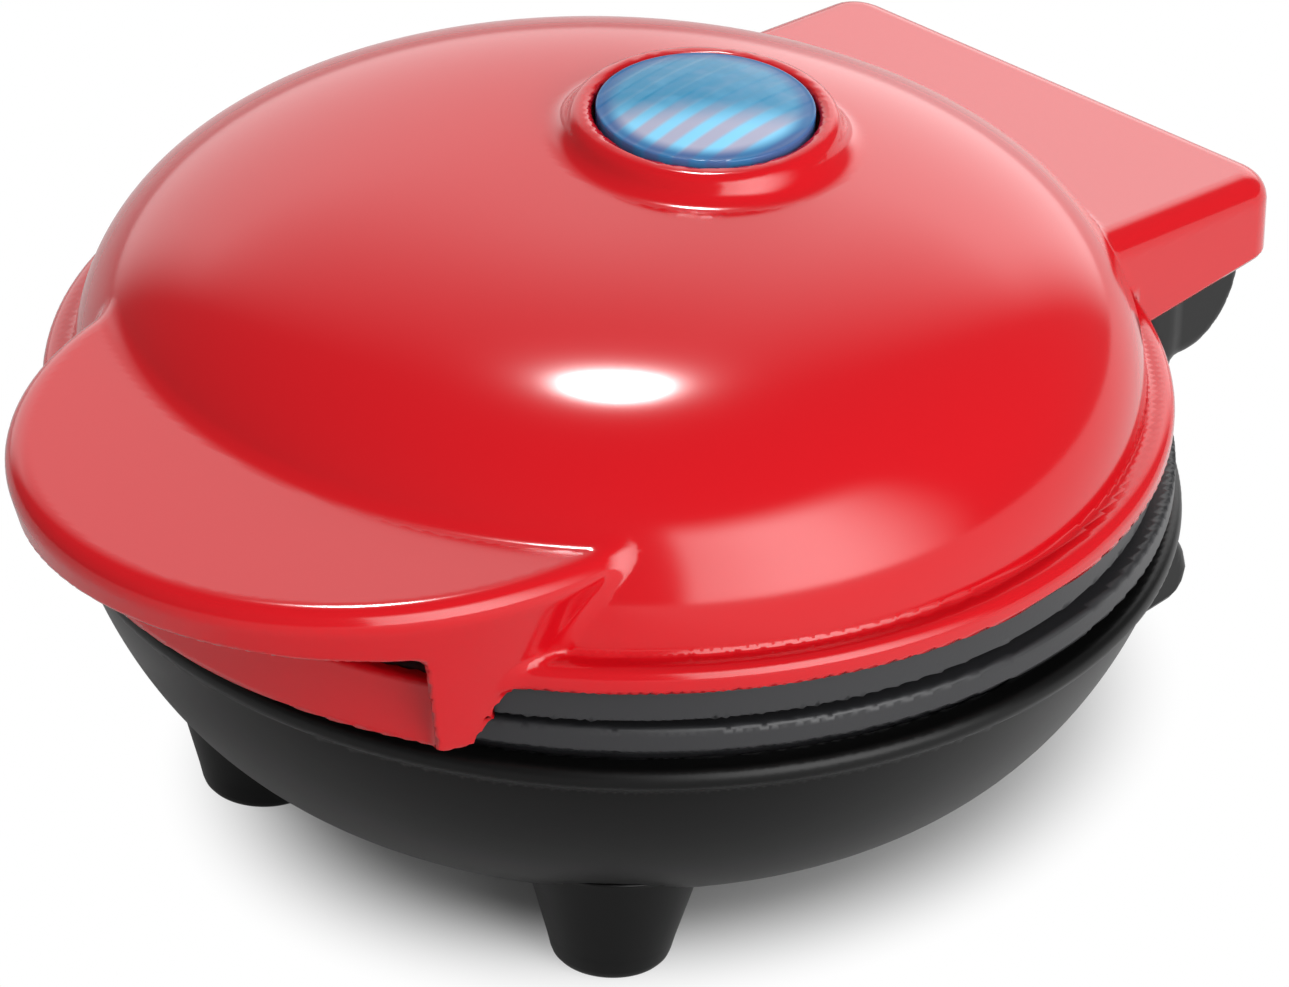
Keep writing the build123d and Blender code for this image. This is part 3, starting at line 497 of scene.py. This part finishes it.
def turned(name, profile, centre, segments, roof=None):
    """Surface of revolution (r cos u, r sin u, z) + centre, cut off under a roof where one is given."""
    profile = np.asarray(profile, float)
    u = np.linspace(0.0, 2.0 * np.pi, segments, endpoint=False)
    radial = np.maximum(profile[:, 0], pole_radius)[:, None]
    x = centre[0] + radial * np.cos(u)
    y = centre[1] + radial * np.sin(u)
    z = np.broadcast_to(profile[:, 1][:, None], x.shape)
    if roof is not None:
        z = np.minimum(z, roof(x, y))
    points = np.stack([x, y, z], axis=-1).reshape(-1, 3)
    row, column = np.meshgrid(np.arange(len(profile) - 1), np.arange(segments), indexing="ij")
    low, high = row * segments, (row + 1) * segments
    after = (column + 1) % segments
    quads = [low + column, low + after, high + after, high + column]
    faces = np.stack(quads, axis=-1).reshape(-1, 4)
    return mesh_object(name, points, faces)


# %% Lens
crown_radius, crown_z, crown_rise = 11.75, 80.2, 1.1
lens_radius, lens_foot_radius, lens_inner_radius = 12.35, 12.7, 11.0
lens_foot_z, lens_shoulder_z, lens_inner_z = 74.6, 76.0, 78.6
crown = [(r, crown_z + crown_rise * (1.0 - (r / crown_radius) ** 2)) for r in (11.75, 10, 8, 6, 4, 2, 0)]
lens_profile = [(0.0, lens_inner_z), (lens_inner_radius, lens_inner_z), (lens_inner_radius, lens_foot_z)]
lens_profile += [(lens_foot_radius, lens_foot_z), (lens_radius, lens_shoulder_z), (lens_radius, crown_z)]
lens_outline = rounded(lens_profile + crown, radius=0.5)
lens = turned("blue_lens", lens_outline, (0.0, lens_y), segments=128)
hang(lens, "lid", "indicator_lens")

# %% Feet
foot_wall_z, foot_top_z, foot_flat_radius = 3.0, 15.6, 6.5
wall_z = np.linspace(foot_wall_z, foot_top_z, 28)
foot_wall = list(zip(foot_radius(wall_z), wall_z))
foot_top = [(r, foot_top_z) for r in np.linspace(10.0, 0.0, 12)]
foot_toe = rounded([(0.0, 0.0), (foot_flat_radius, 0.0), foot_wall[0]], radius=1.5)
foot_outline = np.concatenate([foot_toe, foot_wall[1:], foot_top])
feet = []
for side, node in ((-1, "front_foot_left"), (1, "front_foot_right")):
    foot = turned("black_" + node, foot_outline, (foot_x * side, foot_y), segments=96, roof=foot_seat)
    feet.append(hang(foot, "base", node))

# %% [markdown]
# ## Waffle plates
#
# Each plate is a shallow pan with a square grid of studs. The studs repeat by folding the plane:
# the distance to the nearest stud only depends on the position inside one cell of the grid.

# %% Sizes of the plates
stud_pitch, stud_half_width, stud_taper, stud_height = 14.0, 4.9, 0.21, 5.7
studs_reach = 43.0
pan_radius, pan_wall, pan_taper = 50.8, 2.0, 0.19
upper_rim_radius, upper_face_z, upper_lip_z = 62.0, 44.8, 46.8
upper_pan_z, upper_back_z = 52.0, 54.0
lower_rim_radius, lower_face_z, lower_lip_z, lower_rim_z = 62.5, 43.3, 41.3, 40.0
lower_pan_z, lower_root_z, lower_back_z = 36.1, 35.1, 34.1
skirt_radii, skirt_heights = (57.0, 59.0), (35.0, 42.3)
rim_width = 2.0

# %% Waffle plates


def fold(value, pitch):
    """Position inside a repeating cell whose middle is a stud: ((v / p) mod 1 - 1/2) p."""
    return (np.mod(value / pitch, 1.0) - 0.5) * pitch


def studs(x, y, height):
    """Field of the studs, which narrow as they rise: |fold| < w - taper h, for studs inside the reach."""
    fold_x = fold(x, stud_pitch)
    fold_y = fold(y - plates_y, stud_pitch)
    across = np.maximum(np.abs(fold_x), np.abs(fold_y))
    block = meet(across - (stud_half_width - stud_taper * height), height - stud_height, radius=0.7)
    from_middle = np.hypot(x - fold_x, y - plates_y - fold_y)
    outside = 6.0
    return np.where(from_middle < studs_reach, block, outside)


def upper_plate_field(x, y, z):
    """Field of the upper plate: rim, pan and studs that hang down."""
    radial = np.hypot(x, y)
    from_middle = np.hypot(x, y - plates_y)
    rim = meet(radial - upper_rim_radius, slab(z, upper_face_z, flange_z), radius=0.5)
    rim = cut(rim, np.maximum(radial - upper_rim_radius + rim_width, upper_lip_z - z), radius=0.3)
    wall = pan_radius - pan_taper * (z - upper_face_z)
    pan = meet(from_middle - wall - pan_wall, slab(z, upper_face_z, upper_back_z), radius=0.6)
    body = join(rim, pan, radius=0.8)
    body = cut(body, meet(from_middle - wall, z - upper_pan_z, radius=1.0), radius=0.8)
    return join(body, studs(x, y, upper_pan_z - z), radius=0.8)


def lower_plate_field(x, y, z):
    """Field of the lower plate: rim, skirt, pan and studs that stand up."""
    radial = np.hypot(x, y - bowl_y)
    from_middle = np.hypot(x, y - plates_y)
    rim = meet(radial - lower_rim_radius, slab(z, lower_rim_z, lower_face_z), radius=0.5)
    rim = cut(rim, np.maximum(radial - lower_rim_radius + rim_width, z - lower_lip_z), radius=0.3)
    skirt = meet(slab(radial, *skirt_radii), slab(z, *skirt_heights), radius=0.4)
    wall = pan_radius - pan_taper * (lower_face_z - z)
    pan = meet(from_middle - wall - pan_wall, slab(z, lower_back_z, lower_face_z), radius=0.6)
    body = join(join(rim, skirt, radius=0.4), pan, radius=0.8)
    body = cut(body, meet(from_middle - wall, lower_pan_z - z, radius=1.0), radius=0.8)
    standing = np.maximum(studs(x, y, z - lower_pan_z), lower_root_z - z)
    return join(body, standing, radius=0.8)


upper_box = ((-63.0, -63.0, 44.0), (63.0, 63.0, 55.0))
lower_box = ((-63.5, -61.0, 33.0), (63.5, 66.0, 44.5))
upper_plate = moulding(
    "upper_plate_cast", upper_plate_field, upper_box, "lid", "upper_waffle_plate"
)
lower_plate = moulding(
    "lower_plate_cast", lower_plate_field, lower_box, "base", "lower_waffle_plate"
)

# %% [markdown]
# ## Shader arithmetic
#
# A `Wire` wraps one output socket, so that sums and products of wires build maths nodes.

# %% Shader arithmetic


class Wire:
    """One output of a shader node that takes part in ordinary arithmetic."""

    def __init__(self, tree, socket):
        self.tree = tree
        self.socket = socket

    def feed(self, slot, value):
        """Links a wire to an input, or sets the input to a plain value."""
        if isinstance(value, Wire):
            self.tree.links.new(value.socket, slot)
        else:
            slot.default_value = value

    def node(self, kind, inputs, output=0, **settings):
        """Adds any node, sets its properties and inputs, and returns one of its outputs."""
        made = self.tree.nodes.new(kind)
        for name, value in settings.items():
            setattr(made, name, value)
        for name, value in inputs.items():
            self.feed(made.inputs[name], value)
        return Wire(self.tree, made.outputs[output])

    def maths(self, operation, other=0.0):
        """A maths node on this wire and another value."""
        return self.node("ShaderNodeMath", {0: self, 1: other}, operation=operation)

    def reflected(self, operation, other):
        """A maths node with the other value first."""
        return self.node("ShaderNodeMath", {0: other, 1: self}, operation=operation)

    def axes(self):
        """The three parts of a vector."""
        return [self.node("ShaderNodeSeparateXYZ", {"Vector": self}, output=axis) for axis in range(3)]

    def blend(self, share, first, second):
        """Colour between two colours, at a share from 0 to 1."""
        colours = [(*value, 1.0) if isinstance(value, tuple) else value for value in (first, second)]
        inputs = {0: share, 6: colours[0], 7: colours[1]}
        return self.node("ShaderNodeMix", inputs, output=2, data_type="RGBA")

    def window(self, low, high):
        """A smooth step from 0 at low to 1 at high: t^2 (3 - 2t)."""
        limits = {"Value": self, "From Min": low, "From Max": high}
        return self.node("ShaderNodeMapRange", limits, interpolation_type="SMOOTHSTEP")

    def __add__(self, other):
        return self.maths("ADD", other)

    def __radd__(self, other):
        return self.reflected("ADD", other)

    def __sub__(self, other):
        return self.maths("SUBTRACT", other)

    def __rsub__(self, other):
        return self.reflected("SUBTRACT", other)

    def __mul__(self, other):
        return self.maths("MULTIPLY", other)

    def __rmul__(self, other):
        return self.reflected("MULTIPLY", other)


def start_material(name):
    """A material with a Principled shader, and a wire that carries the object coordinates."""
    made = bpy.data.materials.new(name)
    made.use_nodes = True
    tree = made.node_tree
    shader = tree.nodes["Principled BSDF"]
    place = tree.nodes.new("ShaderNodeTexCoord")
    return made, shader, Wire(tree, place.outputs["Object"])


def dress(made, *things):
    """Gives every listed object one material."""
    for thing in things:
        thing.data.materials.clear()
        thing.data.materials.append(made)


# %% [markdown]
# ## Plastics, coating and metals
#
# One recipe serves every plain surface. Its roughness drifts slowly over the piece, and a fine
# grain, whose depth is in metres, breaks up the reflections as bump.

# %% Plain materials


def plain(name, colour, roughness, drift, grain, depth, **settings):
    """A finish: roughness + drift (noise - 1/2), and grain (noise periods a metre) of some depth as bump."""
    made, shader, place = start_material(name)
    slow = place.node("ShaderNodeTexNoise", {"Vector": place, "Scale": 35.0, "Detail": 3.0})
    fine = place.node("ShaderNodeTexNoise", {"Vector": place, "Scale": grain, "Detail": 2.0})
    place.feed(shader.inputs["Roughness"], roughness + drift * (slow - 0.5))
    bump = place.node("ShaderNodeBump", {"Height": fine, "Distance": depth, "Strength": 1.0})
    place.feed(shader.inputs["Normal"], bump)
    shader.inputs["Base Color"].default_value = (*colour, 1.0)
    for socket, value in settings.items():
        shader.inputs[socket].default_value = value
    return made


def metal(name, colour, roughness):
    """A bare metal with a fine grain."""
    return plain(name, colour, roughness, drift=0.1, grain=1500.0, depth=4e-6, Metallic=1.0)


red = plain("red_gloss", (0.53, 0.0035, 0.008), 0.13, drift=0.03, grain=900.0, depth=1e-6)
black = plain("black_satin", (0.0025, 0.0025, 0.0025), 0.36, drift=0.06, grain=2500.0, depth=3e-6, IOR=1.33)
coated = plain("dark_coating", (0.022, 0.022, 0.024), 0.42, drift=0.10, grain=1800.0, depth=1.2e-5)
steel = metal("bright_steel", (0.55, 0.55, 0.56), 0.3)
tube = metal("heater_tube", (0.28, 0.27, 0.27), 0.4)
sheet = metal("sheet_metal", (0.7, 0.7, 0.71), 0.35)
pale = plain("pale_ceramic", (0.72, 0.71, 0.67), 0.5, drift=0.1, grain=1500.0, depth=6e-6)
rubber = plain("black_rubber", (0.02, 0.02, 0.02), 0.7, drift=0.1, grain=2000.0, depth=1e-5)

# %% [markdown]
# ## The ribbed lens
#
# Ribs under clear blue plastic show as streaks along Y. The ribs themselves are a bump, and the
# light they reflect and refract is painted into the colour as light-blue streaks, a painted reflection.
# The rear of the lens is deep cyan, the rim deep blue, and a soft noise breaks up the change
# between them.

# %% Lens material


def ribbed_blue_painted_glints(name):
    """Blue plastic over ribs: streaks sin(2 pi x / period + phase) as bump and as painted reflection, cyan
    at the rear and blue at the rim.
    """
    period, phase, centre_y = 0.0033, 0.6, 0.001 * lens_y
    rear_x, rear_y = -0.63, 0.78
    grey_lilac, glint_blue = (0.38, 0.38, 0.50), (0.22, 0.58, 0.82)
    deep_cyan, deep_blue = (0.0, 0.19, 0.36), (0.0, 0.07, 0.24)
    made, shader, place = start_material(name)
    x, y, _ = place.axes()
    y = y - centre_y
    # painted reflection: the ribs' glints are painted as sine streaks, which also give the ribs' bump below
    ribs_and_glints = 0.5 + 0.5 * (x * (2.0 * math.pi / period) + phase).maths("SINE")
    ribs_and_glints = ribs_and_glints.window(0.25, 0.85)
    rear = (x * rear_x + y * rear_y).window(-0.006, 0.001)
    rim = (x * x + y * y).maths("SQRT").window(0.0096, 0.0116)
    clouds = place.node("ShaderNodeTexNoise", {"Vector": place, "Scale": 420.0, "Detail": 1.0})
    # painted reflection: light-blue streaks mixed into the lens colour
    colour = place.blend(ribs_and_glints, grey_lilac, glint_blue)
    colour = place.blend(rear * (0.8 + 0.35 * clouds), colour, deep_cyan)
    colour = place.blend(rim * 0.85, colour, deep_blue)
    place.feed(shader.inputs["Base Color"], colour)
    place.feed(shader.inputs["Roughness"], 0.10 + 0.06 * clouds)
    bump = place.node("ShaderNodeBump", {"Height": ribs_and_glints, "Distance": 6e-5, "Strength": 0.6})
    place.feed(shader.inputs["Normal"], bump)
    shader.inputs["IOR"].default_value = 1.3
    return made


blue = ribbed_blue_painted_glints("blue_ribbed_painted_glints")

# %% Who wears what
wardrobe = {
    steel: ["hinge_pin_left", "hinge_pin_right", "upper_plate_screws", "lower_plate_screws"],
    tube: ["upper_heating_element", "lower_heating_element", "thermal_fuse"],
    sheet: ["upper_heat_shield", "lower_heat_shield", "thermostat_clip"],
    pale: ["upper_element_terminals", "lower_element_terminals", "thermostat", "terminal_block"]
    + ["lamp_holder", "indicator_lamp", "base_leads", "lid_leads"],
    rubber: ["rear_pads"],
    black: ["cord_inlet"],
}
for made, names in wardrobe.items():
    dress(made, *[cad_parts[name] for name in names])
dress(red, lid)
dress(black, base, *feet)
dress(coated, upper_plate, lower_plate)
dress(blue, lens)
print("materials:", len(bpy.data.materials))

# %% [markdown]
# ## Studio
#
# The camera was solved from outlines in the photograph: a long lens in front of the object, turned
# 39 degrees towards +X and 31 degrees up. Lengths from here on are metres.

# %% Camera
camera_azimuth, camera_elevation, camera_roll = 38.83, 31.27, 2.17
camera_target, camera_distance = (0.0, 0.0, 0.045), 1.5
camera_right, camera_up = 0.00416, -0.00736
focal_length, sensor_width = 372.8, 36.0


def aim(azimuth, elevation, roll, target, distance, right_shift, up_shift):
    """Camera matrix from angles in degrees, a distance from its target, then moved right and up."""
    a, e, w = (math.radians(angle) for angle in (azimuth, elevation, roll))
    forward = Vector((-math.sin(a) * math.cos(e), math.cos(a) * math.cos(e), -math.sin(e)))
    level = Vector((math.cos(a), math.sin(a), 0.0))
    upright = level.cross(forward)
    right = level * math.cos(w) + upright * math.sin(w)
    up = upright * math.cos(w) - level * math.sin(w)
    place = Vector(target) + right * right_shift + up * up_shift - forward * distance
    turn = Matrix((right, up, -forward)).transposed().to_4x4()
    return Matrix.Translation(place) @ turn


camera_data = bpy.data.cameras.new("camera")
camera_data.lens = focal_length
camera_data.sensor_width = sensor_width
camera_data.clip_end = 20.0
camera = bpy.data.objects.new("camera", camera_data)
bpy.context.scene.collection.objects.link(camera)
view = (camera_azimuth, camera_elevation, camera_roll, camera_target, camera_distance)
camera.matrix_world = aim(*view, camera_right, camera_up)
bpy.context.scene.camera = camera
print("camera at", tuple(round(value, 3) for value in camera.matrix_world.translation))

# %% [markdown]
# ## Floor
#
# The floor is matt paper with soft shadows close to the object, inside an ellipse around it. Further
# out it turns plain white for the camera. Reflections see less of that white, except to the right
# and the rear, where it draws the light edge of the bowl.

# %% Floor
paper_grey = 0.55
shadow_half_width, shadow_half_depth, shadow_y = 0.046, 0.057, 0.014
right_x, right_y = 0.78, 0.63
floor_size, floor_z = 8.0, -0.0002

bpy.ops.mesh.primitive_plane_add(size=floor_size, location=(0.0, 0.0, floor_z))
floor = bpy.context.object
floor.name = "floor"
paper, paper_shader, spot = start_material("floor_paper")
paper_shader.inputs["Base Color"].default_value = (paper_grey, paper_grey, paper_grey, 1.0)
paper_shader.inputs["Roughness"].default_value = 0.9
paper_shader.inputs["Specular IOR Level"].default_value = 0.0
across, along, _ = spot.axes()
out_x = across * (1.0 / shadow_half_width)
out_y = along * (1.0 / shadow_half_depth) - shadow_y / shadow_half_depth
open_paper = (out_x * out_x + out_y * out_y).maths("SQRT").window(0.75, 1.17)
path = spot.tree.nodes.new("ShaderNodeLightPath")
mirrored = 0.06 + 1.1 * (across * right_x + along * right_y).window(0.0, 0.15)
for_camera = Wire(spot.tree, path.outputs["Is Camera Ray"])
for_mirrors = Wire(spot.tree, path.outputs["Is Glossy Ray"])
whiteness = open_paper * (for_camera + mirrored * for_mirrors)
matt = Wire(spot.tree, paper_shader.outputs[0])
white = spot.node("ShaderNodeEmission", {"Color": (1.0, 1.0, 1.0, 1.0), "Strength": 1.0})
surface = spot.node("ShaderNodeMixShader", {0: whiteness, 1: matt, 2: white})
spot.feed(spot.tree.nodes["Material Output"].inputs["Surface"], surface)
dress(paper, floor)

# %% [markdown]
# ## Room
#
# The room is dim, which keeps the red deep, and two soft screens stand in it. Their brightness is a
# function of direction. The rear one fades upwards as exp((0.48 - z) / 0.17), never above 1, and is
# brighter straight behind. The right one has a crisp near edge and a soft far edge, as angles in
# radians from -Y towards +X. A fill from the front lights only matt surfaces. The camera sees white.

# %% Room and screens
room_level, fill_level, rear_level, right_level = 0.2, 0.6, 1.5, 5.8
fade_start, fade_length = 0.48, 0.17
rear_east, rear_north = -0.66, 0.75

world = bpy.data.worlds.new("studio")
bpy.context.scene.world = world
world.use_nodes = True
sky = world.node_tree.nodes["Background"]
ray = world.node_tree.nodes.new("ShaderNodeLightPath")
seen = Wire(world.node_tree, ray.outputs["Is Camera Ray"])
scattered = Wire(world.node_tree, ray.outputs["Is Diffuse Ray"])
way = Wire(world.node_tree, world.node_tree.nodes.new("ShaderNodeTexCoord").outputs["Generated"])
east, north, height = way.axes()
level = (1.0 - height * height).maths("SQRT")

fade = ((fade_start - height) * (1.0 / fade_length)).maths("EXPONENT").maths("MINIMUM", 1.0)
rearward = (east * rear_east + north * rear_north - 0.6 * level).window(0.13, 0.29)
straight_behind = (north - 0.78 * level).window(0.0, 0.06)
rear_screen = rear_level * fade * rearward * (1.0 + 0.45 * straight_behind)

azimuth = east.maths("ARCTAN2", -1.0 * north)
sides = azimuth.window(0.94, 1.02) * (1.0 - azimuth.window(1.5, 2.15))
middle = 0.72 + 0.28 * azimuth.window(1.02, 1.4)
right_screen = right_level * sides * middle * (1.0 - height.window(0.68, 0.84))

fill = fill_level * (-1.0 * north).window(0.0, 0.8) * scattered
room = room_level + rear_screen + right_screen + fill
way.feed(sky.inputs["Strength"], room + (1.0 - room) * seen)
sky.inputs["Color"].default_value = (1.0, 1.0, 1.0, 1.0)

# %% [markdown]
# ## Key light
#
# One small oval light high behind the object gives the white highlight on the dome.

# %% Key light
key_place, key_target = Vector((-0.33, 0.42, 1.074)), Vector((0.0, 0.0, 0.05))
key_width, key_height, key_watts = 0.14, 0.18, 5.2

key_data = bpy.data.lights.new("oval_key", "AREA")
key_data.shape = "ELLIPSE"
key_data.size = key_width
key_data.size_y = key_height
key_data.energy = key_watts
key = bpy.data.objects.new("oval_key", key_data)
bpy.context.scene.collection.objects.link(key)
key.location = key_place
key.rotation_euler = (key_target - key_place).to_track_quat("-Z", "Y").to_euler()
bpy.context.scene.view_settings.view_transform = "Standard"
print("key light:", key_watts, "W")
